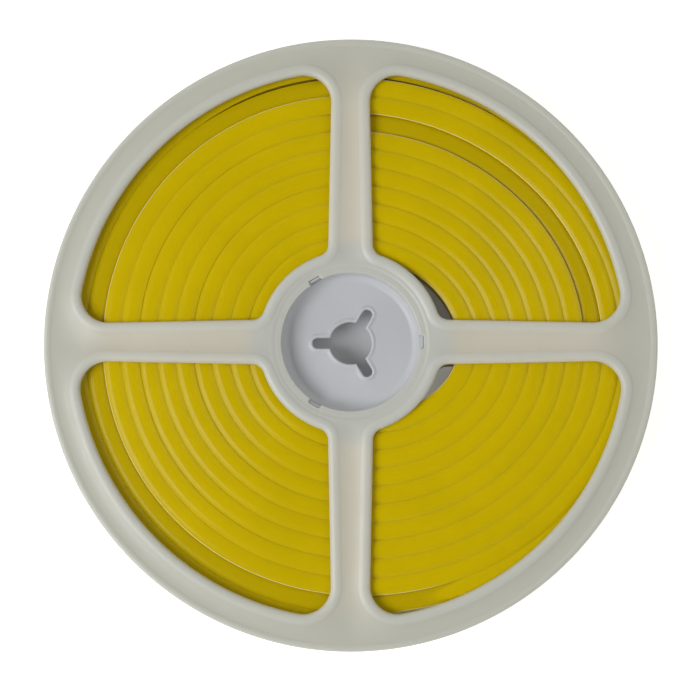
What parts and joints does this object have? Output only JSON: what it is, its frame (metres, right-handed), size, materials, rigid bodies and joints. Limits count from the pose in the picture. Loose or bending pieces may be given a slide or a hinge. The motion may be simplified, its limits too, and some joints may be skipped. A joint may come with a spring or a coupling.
{
  "type": "tubing reel",
  "caption": "Flat moulded reel with windowed flanges, a cup-shaped hub with a keyed arbor hole, and soft oblong tubing wound in a single flat spiral.",
  "frame": {"origin": "on the reel's axis, in the plane that the rear flange's beads stand on", "axes": "+Z along the reel's axis from the rear flange to the front flange; +X along the spoke that points at one notch, +Y along the next spoke"},
  "size_m": [0.18, 0.18, 0.0154],
  "materials": {
    "flange_plastic": "satin moulded ivory plastic",
    "hub_plastic": "satin moulded cool white plastic",
    "tubing_skin": "smooth soft yellow elastomer with a satin skin"
  },
  "bodies": {
    "rear_flange": {"rear_flange": "flange_plastic"},
    "wound_hub": {"hub_core": "hub_plastic", "tubing": "tubing_skin"},
    "front_flange": {"front_flange": "flange_plastic"}
  },
  "joints": [
    {"name": "hub_lift", "type": "slide", "parent": "rear_flange", "child": "wound_hub", "axis": [0, 0, 1], "range_m": [0, 0.03]},
    {"name": "front_flange_lift", "type": "slide", "parent": "wound_hub", "child": "front_flange", "axis": [0, 0, 1], "range_m": [0, 0.03]}
  ]
}
